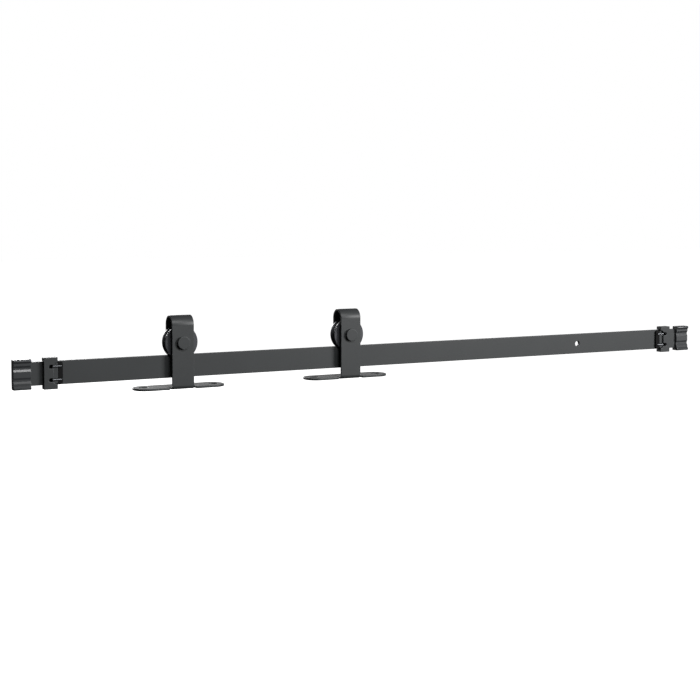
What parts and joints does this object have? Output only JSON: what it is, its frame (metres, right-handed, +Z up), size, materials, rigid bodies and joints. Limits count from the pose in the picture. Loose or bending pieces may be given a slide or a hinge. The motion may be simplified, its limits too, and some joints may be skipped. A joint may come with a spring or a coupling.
{
  "type": "sliding barn door hardware",
  "caption": "Flat rail with clamped bumper stops and profiled end caps, carrying strap hangers on grooved rolling wheels with foot plates for a light sliding door.",
  "frame": {"origin": "middle of the rail's back face, on the wall side", "axes": "+X along the rail, +Y towards the wall, +Z up; the hangers and stops face the room at -Y"},
  "size_m": [1.0732, 0.0401, 0.0963],
  "materials": {
    "powder_coated_steel": "fine satin powder coat, charcoal black",
    "cap_plastic": "satin moulded plastic, black",
    "rubber": "matt moulded rubber, black",
    "wheel_nylon": "turned nylon, black",
    "zinc_steel": "zinc plated",
    "black_steel": "black oxide",
    "bearing_steel": "ground bearing steel"
  },
  "bodies": {
    "rail": {"rail": "powder_coated_steel", "end_cap_left": "cap_plastic", "stop_block_left": "powder_coated_steel", "stop_carrier_left": "powder_coated_steel", "stop_bumper_left": "rubber", "stop_pin_upper_left": "black_steel", "stop_pin_lower_left": "black_steel", "clamp_screw_left": "black_steel", "end_cap_right": "cap_plastic", "stop_block_right": "powder_coated_steel", "stop_carrier_right": "powder_coated_steel", "stop_bumper_right": "rubber", "stop_pin_upper_right": "black_steel", "stop_pin_lower_right": "black_steel", "clamp_screw_right": "black_steel"},
    "hanger_left": {"hanger_strap_left": "powder_coated_steel", "axle_bolt_left": "powder_coated_steel", "spacer_front_left": "zinc_steel", "spacer_back_left": "zinc_steel", "axle_washer_left": "zinc_steel", "lock_nut_left": "black_steel", "bearing_inner_ring_left": "bearing_steel"},
    "wheel_left": {"wheel_left": "wheel_nylon", "bearing_outer_ring_left": "bearing_steel", "bearing_shield_front_left": "zinc_steel", "bearing_shield_back_left": "zinc_steel", "bearing_balls_left": "bearing_steel"},
    "hanger_right": {"hanger_strap_right": "powder_coated_steel", "axle_bolt_right": "powder_coated_steel", "spacer_front_right": "zinc_steel", "spacer_back_right": "zinc_steel", "axle_washer_right": "zinc_steel", "lock_nut_right": "black_steel", "bearing_inner_ring_right": "bearing_steel"},
    "wheel_right": {"wheel_right": "wheel_nylon", "bearing_outer_ring_right": "bearing_steel", "bearing_shield_front_right": "zinc_steel", "bearing_shield_back_right": "zinc_steel", "bearing_balls_right": "bearing_steel"}
  },
  "joints": [
    {"name": "slide_left", "type": "slide", "parent": "rail", "child": "hanger_left", "axis": [1, 0, 0], "range_m": [-0.143, 0.06]},
    {"name": "roll_left", "type": "hinge", "parent": "hanger_left", "child": "wheel_left", "pos_m": [-0.3162, -0.0025, 0.0312], "axis": [0, 1, 0], "continuous": true},
    {"name": "slide_right", "type": "slide", "parent": "rail", "child": "hanger_right", "axis": [1, 0, 0], "range_m": [-0.06, 0.5292]},
    {"name": "roll_right", "type": "hinge", "parent": "hanger_right", "child": "wheel_right", "pos_m": [-0.07, -0.0025, 0.0312], "axis": [0, 1, 0], "continuous": true}
  ],
  "couplings": [
    {"joint": "roll_left", "follows": "slide_left", "rad_per_m": 62.5},
    {"joint": "roll_right", "follows": "slide_right", "rad_per_m": 62.5}
  ]
}
